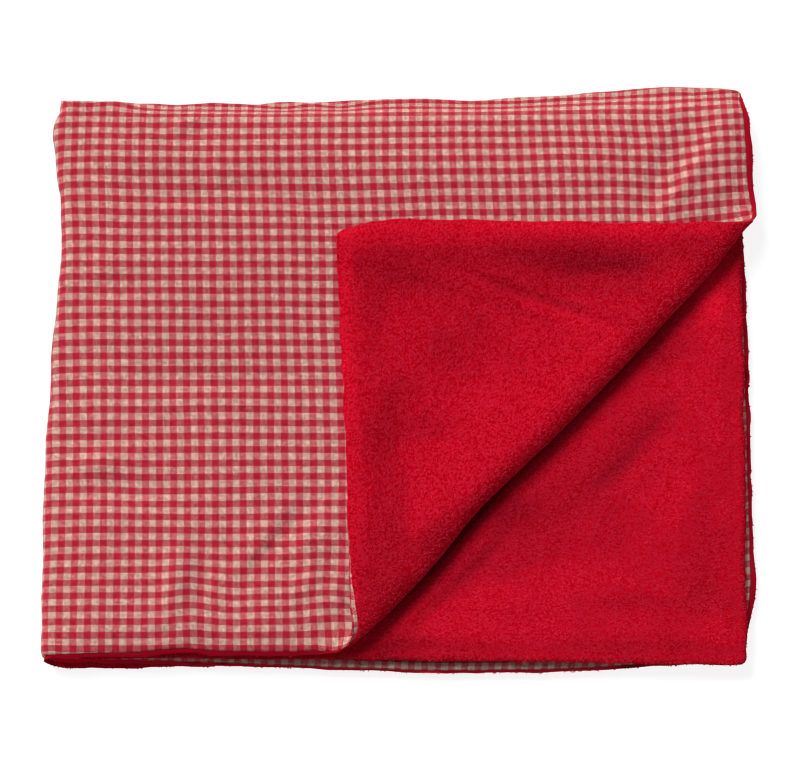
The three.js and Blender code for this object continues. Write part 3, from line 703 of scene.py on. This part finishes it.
lowerPaintedLight = [
    (152, -23, 165, 6, 45.6, -2.3), (26, -159, 80, 8, 49.2, -2.3), (-5, -226, 30, 8, 10, -1.2),
    (222, 18, 14, 10, 45, -0.8), (178, -78, 44, 13, 46, -1.0), (118, -122, 40, 13, 40, -0.6),
    (215, -36, 26, 10, 50, -0.8), (126, -96, 30, 8, 45, -0.5), (60, -205, 60, 16, 0, 0.5),
    (230, -80, 30, 30, 45, 0.4), (255, -165, 16, 26, 0, -0.6), (205, -99, 20, 16, 0, 0.5),
    (150, -170, 60, 20, 8, 0.2), (265, -218, 20, 12, 0, 0.3), (270, 78, 14, 26, 0, 1.5),
    (230, -188, 90, 9, 0, -0.5), (200, -120, 400, 400, 0, -0.45), (255, -30, 40, 110, 0, 0.3),
    (120, -195, 110, 40, 0, 0.3), (92, -112, 26, 12, 46, -1.3), (64, -155, 26, 9, 46, -0.9),
    (32, -186, 52, 6, 45.5, -1.2), (188, -70, 22, 9, 46, -0.5), (258, -90, 14, 40, 0, -0.35),
    (150, -226, 190, 7, 0, -0.35), (232, 32, 14, 14, 45, -0.4), (116, -146, 22, 10, 0, -0.4),
    (84, -160, 14, 8, 0, -0.5),
]


def paintedLightTone(across, along, spot):
    tone = swellHeight(flapPaintedLight, spot[:, 0], spot[:, 1]) * (along < 0)
    tone = tone + swellHeight(lowerPaintedLight, spot[:, 0], spot[:, 1]) * (along > 0)
    edge = smoothStep(nap["paintedRimBand"], 0, rimAt(across, along)[0]) * (pastTurn(across, along) < turnArc)
    return tone - nap["paintedRimShade"] * edge  # painted shade in a narrow band along the rim


def makeLocks(name, across, along, angle, spec, length, width, lift):
    step = 0.8  # mm, to feel which way the cloth runs
    root = fleeceOuter(across, along)
    du = fleeceOuter(across + step, along) - fleeceOuter(across - step, along)
    dv = fleeceOuter(across, along + step) - fleeceOuter(across, along - step)
    unit = lambda v: v / np.maximum(np.linalg.norm(v, axis=1), 1e-9)[:, None]
    normal = unit(root - fleeceInner(across, along))
    way = unit(du * np.cos(angle)[:, None] + dv * np.sin(angle)[:, None])
    side = unit(np.cross(normal, way))
    n = len(across)
    bend = rng.normal(0, nap["curl"], n) * length
    half = width[:, None] / 2
    foot = root - normal * nap["sink"] - way * (nap["behind"] * length)[:, None]
    middle = root + side * bend[:, None] - normal * nap["sink"] * 0.5
    crown = middle + normal * (lift + nap["sink"])[:, None]
    tip = root + way * (nap["ahead"] * length)[:, None] + normal * (lift * 0.5)[:, None]
    points = np.stack([foot, middle - side * half, middle + side * half, crown, tip], 1).reshape(-1, 3)
    pattern = np.array([(0, 2, 1), (0, 3, 2), (0, 1, 3), (4, 1, 2), (4, 2, 3), (4, 3, 1)])
    faces = (np.arange(n)[:, None, None] * 5 + pattern).reshape(-1, 3)
    mesh = bpy.data.meshes.new(name)
    mesh.from_pydata(toFrame(points).tolist(), [], faces.tolist())
    # painted light and shade, plus random patches and an uneven tone per lock
    tone = paintedLightTone(across, along, root) + softNoise(across, along, nap["patch"], 8) * nap["patchTone"]
    tone = tone + rng.normal(0, spec["uneven"], n)
    raised = lift > np.quantile(lift, nap["lowShare"])  # the higher locks, which get the paler reds: a painted highlight
    slot = np.digitize(tone - spec["calm"] * raised, nap["steps"]) * 2 + raised
    mesh.polygons.foreach_set("material_index", np.repeat(slot, len(pattern)))
    mesh.polygons.foreach_set("use_smooth", np.zeros(len(mesh.polygons), bool))
    mesh.update()
    piece = bpy.data.objects.new(name, mesh)
    bpy.context.collection.objects.link(piece)
    return piece


def scatter(spec, shown):  # points of the flat cloth that show
    across = rng.uniform(*spec["across"], spec["count"] * nap["drawsEach"])
    along = rng.uniform(*spec["along"], spec["count"] * nap["drawsEach"])
    kept = shown(across, along)
    return across[kept][:spec["count"]], along[kept][:spec["count"]]


def lockSizes(count, spec):
    length = spec["length"] * rng.uniform(*nap["lengths"], count)
    width = nap["width"] * rng.uniform(*nap["widths"], count)
    return length, width, spec["lift"] * rng.uniform(*nap["lifts"], count)


def insideRim(across, along):
    return rimAt(across, along)[0] > nap["inFromRim"]


def cornerShown(across, along):
    return (pastTurn(across, along) > nap["pastLine"]) & insideRim(across, along)


def lowerShown(across, along):
    spot = fleeceOuter(across, along)
    seen = (spot[:, 0] - ends[0][0]) * planWay[0] + (spot[:, 1] - ends[0][1]) * planWay[1]
    return (seen > -nap["underRoll"]) & insideRim(across, along)


across, along = roundCorners(*[g.ravel() for g in np.meshgrid(fleeceAcross, fleeceAlong, indexing="ij")])
# the ground's painted light and shade, stored on the fleece mesh
level = np.zeros(len(fleecePiece.data.vertices))
level[:len(across)] = paintedLightTone(across, along, fleeceOuter(across, along))
level = nap["rampMiddle"] + level / nap["rampSteps"]  # place on the ramp of reds
toneLayer = fleecePiece.data.attributes.new("paintedLightTone", "FLOAT", "POINT")
toneLayer.data.foreach_set("value", level.astype(np.float32))

napPieces = []
for place, shown in (("corner", cornerShown), ("lower", lowerShown)):
    spec = nap[place]
    a, b = scatter(spec, shown)
    lean = spec["lean"] + spec["spread"] * rng.normal(0, 1, len(a))
    turnBy = np.radians(lean + spec["swirl"] * softNoise(a, b, nap["swirlSize"], spec["seed"]))
    for k, half in enumerate("ab"):  # every other lock, to keep each piece small
        name = "fleece_nap_" + place + "_" + half
        sizes = lockSizes(len(a[k::2]), spec)
        napPieces.append(makeLocks(name, a[k::2], b[k::2], turnBy[k::2], spec, *sizes))
spec = nap["rim"]
a = rng.uniform(-w, w, spec["draws"])
b = rng.uniform(-l, l, spec["draws"])
a, b = roundCorners(a, b)
depth, outA, outB = rimAt(a, b)
offRoll = np.abs(pastTurn(a, b) - turnArc / 2) > turnArc / 2 + spec["offRoll"]
a, b, outA, outB = [v[(depth < spec["depth"]) & offRoll] for v in (a, b, outA, outB)]
turnBy = np.arctan2(outB, outA) + rng.normal(0, spec["fan"], len(a))
napPieces.append(makeLocks("fleece_nap_rim", a, b, turnBy, spec, *lockSizes(len(a), spec)))
print("nap", [len(p.data.polygons) for p in napPieces])


def addNode(tree, kind, settings=None, values=None, links=None):
    node = tree.nodes.new(kind)
    for key, value in (settings or {}).items():
        setattr(node, key, value)
    for key, value in (values or {}).items():
        node.inputs[key].default_value = value
    for key, socket in (links or {}).items():
        tree.links.new(socket, node.inputs[key])
    return node


def newMaterial(name):
    material = bpy.data.materials.new(name)
    material.use_nodes = True
    tree = material.node_tree
    tree.nodes.clear()
    shader = addNode(tree, "ShaderNodeBsdfPrincipled")
    addNode(tree, "ShaderNodeOutputMaterial", links={"Surface": shader.outputs["BSDF"]})
    return material, tree, shader


# Yarn-dyed cotton gingham, plain woven: two yarns cross, so checks show red, ecru and an even mix
ginghamLook = {
    "thread": gingham["check"] / 5,  # mm; real threads are about 0.4, drawn coarser so they show
    "slub": (1.9, 5.0), "sway": 2.2,  # mm; uneven yarn, drawn coarser too
    "crumple": 9.0,  # mm
    "red": "#a80c2a", "ecru": "#c09b8b", "ecruOverRed": "#c77e7d", "ecruUnderRed": "#af6c6b",
    "phase": (0.75, 0.75),  # repeats
}
ginghamMaterial, tree, shader = newMaterial("yarn_dyed_cotton_gingham")
uvNode = addNode(tree, "ShaderNodeUVMap", {"uv_map": "flatCloth"})
split = addNode(tree, "ShaderNodeSeparateXYZ", links={"Vector": uvNode.outputs["UV"]})
repeat = 2 * gingham["check"] * mm
stripes, ridges = [], []
for axis, phase in zip("XY", ginghamLook["phase"]):
    turns = addNode(tree, "ShaderNodeMath", {"operation": "MULTIPLY_ADD"}, {1: 1 / repeat, 2: phase},
                    {0: split.outputs[axis]})
    part = addNode(tree, "ShaderNodeMath", {"operation": "FRACT"}, links={0: turns.outputs[0]})
    stripes.append(addNode(tree, "ShaderNodeMath", {"operation": "LESS_THAN"}, {1: 0.5},
                           {0: part.outputs[0]}))
    ridges.append(addNode(tree, "ShaderNodeMath", {"operation": "PINGPONG"},
                          {1: ginghamLook["thread"] * mm / 2}, {0: split.outputs[axis]}))
# painted shade, carried on the mesh
paintedShadeAttr = addNode(tree, "ShaderNodeAttribute", {"attribute_name": "ginghamPaintedShade"})
over = addNode(tree, "ShaderNodeTexChecker", values={"Scale": 1 / (ginghamLook["thread"] * mm)},
               links={"Vector": uvNode.outputs["UV"]})
streaks = []
fine, long = [1000 / size for size in ginghamLook["slub"]]
for stretch in ((fine, long, 1), (long, fine, 1)):  # along each thread
    place = addNode(tree, "ShaderNodeMapping", values={"Scale": stretch},
                    links={"Vector": uvNode.outputs["UV"]})
    streaks.append(addNode(tree, "ShaderNodeTexNoise", values={"Scale": 1.0, "Detail": 2.0},
                           links={"Vector": place.outputs["Vector"]}))
slub = addNode(tree, "ShaderNodeMix", {"data_type": "FLOAT"},
               links={0: over.outputs["Fac"], 2: streaks[0].outputs["Fac"], 3: streaks[1].outputs["Fac"]})
onTop = addNode(tree, "ShaderNodeMapRange", values={3: -0.2, 4: 0.3}, links={0: over.outputs["Fac"]})
under = addNode(tree, "ShaderNodeTexNoise", values={"Scale": 1000 / ginghamLook["sway"], "Detail": 1.0},
                links={"Vector": uvNode.outputs["UV"]})  # where the red yarn comes up more or less
sway = addNode(tree, "ShaderNodeMath", {"operation": "MULTIPLY_ADD", "use_clamp": True}, {1: 0.9},
               {0: under.outputs["Fac"], 2: onTop.outputs[0]})
yarn = addNode(tree, "ShaderNodeMix", {"data_type": "FLOAT"},
               links={0: sway.outputs[0], 2: stripes[0].outputs[0], 3: stripes[1].outputs[0]})
alike = addNode(tree, "ShaderNodeMath", {"operation": "COMPARE"}, {2: 0.1},
                {0: stripes[0].outputs[0], 1: stripes[1].outputs[0]})
mixed = addNode(tree, "ShaderNodeMix", {"data_type": "RGBA"},
                {6: linearHex(ginghamLook["ecruOverRed"]), 7: linearHex(ginghamLook["ecruUnderRed"])},
                {0: stripes[1].outputs[0]})
pale = addNode(tree, "ShaderNodeMix", {"data_type": "RGBA"}, {7: linearHex(ginghamLook["ecru"])},
               {0: alike.outputs[0], 6: mixed.outputs[2]})
dyed = addNode(tree, "ShaderNodeMix", {"data_type": "RGBA"}, {7: linearHex(ginghamLook["red"])},
               {0: yarn.outputs[0], 6: pale.outputs[2]})
slubTone = addNode(tree, "ShaderNodeMapRange", values={1: 0.3, 2: 0.7, 3: 0.5, 4: 1.5},
                   links={0: slub.outputs[0]})
colour = addNode(tree, "ShaderNodeMix", {"data_type": "RGBA", "blend_type": "MULTIPLY"}, {0: 1.0},
                 {6: dyed.outputs[2], 7: slubTone.outputs[0]})
# the colour darkened by the painted shade
paintedShadeMix = addNode(tree, "ShaderNodeMix", {"data_type": "RGBA", "blend_type": "MULTIPLY"}, {0: 1.0},
               {6: colour.outputs[2], 7: paintedShadeAttr.outputs["Fac"]})
tree.links.new(paintedShadeMix.outputs[2], shader.inputs["Base Color"])
relief = addNode(tree, "ShaderNodeMix", {"data_type": "FLOAT"},
                 links={0: over.outputs["Fac"], 2: ridges[0].outputs[0], 3: ridges[1].outputs[0]})
threads = addNode(tree, "ShaderNodeBump", values={"Strength": 0.2, "Distance": 0.4},
                  links={"Height": relief.outputs[0]})
crumple = addNode(tree, "ShaderNodeTexNoise",
                  values={"Scale": 1000 / ginghamLook["crumple"], "Detail": 3.0},
                  links={"Vector": uvNode.outputs["UV"]})
bump = addNode(tree, "ShaderNodeBump", values={"Strength": 0.25, "Distance": 0.0008},
               links={"Height": crumple.outputs["Fac"], "Normal": threads.outputs["Normal"]})
tree.links.new(bump.outputs["Normal"], shader.inputs["Normal"])
shader.inputs["Roughness"].default_value = 0.88
shader.inputs["IOR"].default_value = 1.5
shader.inputs["Specular IOR Level"].default_value = 0.25
shader.inputs["Sheen Weight"].default_value = 0.08
ginghamPiece.data.materials.append(ginghamMaterial)

# Brushed polyester fleece, knitted then napped: soft dull red ground with a fine grain
fleeceLook = {
    # reds: one red in six lit and shaded copies, painted shade and highlight
    "grain": 2.4, "reds": ["#5c0510", "#8d081c", "#a40a21", "#bb0c26", "#ce0f2b", "#e01533"],
    # low and raised: the same six steps for the locks, the raised ones paler, a painted highlight
    "low": ["#560006", "#840009", "#9b000d", "#b20011", "#c40116", "#d6041e"],
    "raised": ["#6a1022", "#9e182c", "#b61b32", "#cc1e38", "#df223e", "#f02a46"],
}
fleeceMaterial, tree, shader = newMaterial("brushed_polyester_fleece")
uvNode = addNode(tree, "ShaderNodeUVMap", {"uv_map": "flatCloth"})
grain = addNode(tree, "ShaderNodeTexNoise",
                values={"Scale": 1000 / fleeceLook["grain"], "Detail": 3.0, "Distortion": 0.6},
                links={"Vector": uvNode.outputs["UV"]})
# painted light and shade from the mesh
lie = addNode(tree, "ShaderNodeAttribute", {"attribute_name": "paintedLightTone"})
level = addNode(tree, "ShaderNodeMath", {"operation": "MULTIPLY_ADD"}, {1: 0.12},
                {0: grain.outputs["Fac"], 2: lie.outputs["Fac"]})
# reds stepped by the painted light and shade, with the fine grain
tone = addNode(tree, "ShaderNodeValToRGB", links={0: level.outputs[0]})
while len(tone.color_ramp.elements) < len(fleeceLook["reds"]):
    tone.color_ramp.elements.new(0.5)
for k, code in enumerate(fleeceLook["reds"]):
    tone.color_ramp.elements[k].position = k / (len(fleeceLook["reds"]) - 1)
    tone.color_ramp.elements[k].color = linearHex(code)
tree.links.new(tone.outputs["Color"], shader.inputs["Base Color"])
bump = addNode(tree, "ShaderNodeBump", values={"Strength": 0.35, "Distance": 0.001},
               links={"Height": grain.outputs["Fac"]})
tree.links.new(bump.outputs["Normal"], shader.inputs["Normal"])
shader.inputs["Roughness"].default_value = 0.95
shader.inputs["Specular IOR Level"].default_value = 0.04
shader.inputs["Sheen Weight"].default_value = 0.05
shader.inputs["Sheen Tint"].default_value = linearHex("#ff4050")
fleecePiece.data.materials.append(fleeceMaterial)

# Locks of the same brushed fibre: six lit and shaded copies of one red, painted shade and highlight, each low
# and raised, the raised ones paler as a painted highlight
for k, name in enumerate(("hollow", "deep", "shaded", "even", "lit", "bright")):
    for height in ("low", "raised"):
        lockMaterial, tree, shader = newMaterial("brushed_polyester_nap_" + name + "_" + height)
        shader.inputs["Base Color"].default_value = linearHex(fleeceLook[height][k])
        shader.inputs["Roughness"].default_value = 0.95
        shader.inputs["Specular IOR Level"].default_value = 0.0  # matt fibre ends
        for piece in napPieces:
            piece.data.materials.append(lockMaterial)
print("materials made")

# Set: pale lit table, soft light, camera at the photograph's angle
floorMesh = bpy.data.meshes.new("floor")
table = {"half": 6.0, "below": 0.0002, "grey": "#7a7a7a", "glow": 0.85}  # metres; just clear of the cloth
corners = [(x * table["half"], y * table["half"], 0) for x, y in ((-1, -1), (1, -1), (1, 1), (-1, 1))]
floorMesh.from_pydata(corners, [], [(0, 1, 2, 3)])
floor = bpy.data.objects.new("floor", floorMesh)
bpy.context.collection.objects.link(floor)
floorMaterial, tree, shader = newMaterial("lit_matt_acrylic_table")
shader.inputs["Base Color"].default_value = linearHex(table["grey"])
shader.inputs["Roughness"].default_value = 0.95
shader.inputs["Emission Color"].default_value = (1, 1, 1, 1)
shader.inputs["Emission Strength"].default_value = table["glow"]  # lit from below, so shadows stay faint
floorMesh.materials.append(floorMaterial)
floor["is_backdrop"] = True
floor.location.z = -table["below"]

scene = bpy.context.scene
scene.view_settings.view_transform = "Standard"
world = bpy.data.worlds.new("softWorld")
scene.world = world
world.use_nodes = True
world.node_tree.nodes["Background"].inputs["Color"].default_value = (1, 1, 1, 1)
world.node_tree.nodes["Background"].inputs["Strength"].default_value = 0.30

key = {"from": (-0.62, 0.78, 1.0), "spread": 27.0, "strength": 3.6}  # broad soft light, back left
lampData = bpy.data.lights.new("backLeftSoftLight", "SUN")
lampData.energy = key["strength"]
lampData.angle = math.radians(key["spread"])
lamp = bpy.data.objects.new("backLeftSoftLight", lampData)
bpy.context.collection.objects.link(lamp)
lamp.rotation_euler = Vector(key["from"]).to_track_quat("Z", "Y").to_euler()

view = {"elevation": 76.0, "distance": 2.0474, "lens": 108.0, "aim": (0.0, 0.0, 20.0)}
aim = Vector(toFrame(np.array([view["aim"]]))[0])
rise = math.radians(view["elevation"])
cameraData = bpy.data.cameras.new("camera")
cameraData.lens = view["lens"]
cameraData.sensor_width = 36.0
cameraData.sensor_fit = "HORIZONTAL"
camera = bpy.data.objects.new("camera", cameraData)
bpy.context.collection.objects.link(camera)
camera.location = aim + Vector((0, -math.cos(rise), math.sin(rise))) * view["distance"]
camera.rotation_euler = (math.pi / 2 - rise, 0, 0)
scene.camera = camera
scene.cycles.filter_width = 1.2  # crisp threads, as in a sharp photograph
print("set made")

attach(ginghamPiece, "root")
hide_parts("gingham_panel")
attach(fleecePiece, "root")
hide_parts("fleece_panel")
for piece in napPieces:
    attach(piece, "root")

sizes = {"cad": [list(map(float, c)) for c in cadBox], "visual": [list(map(float, c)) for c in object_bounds()]}
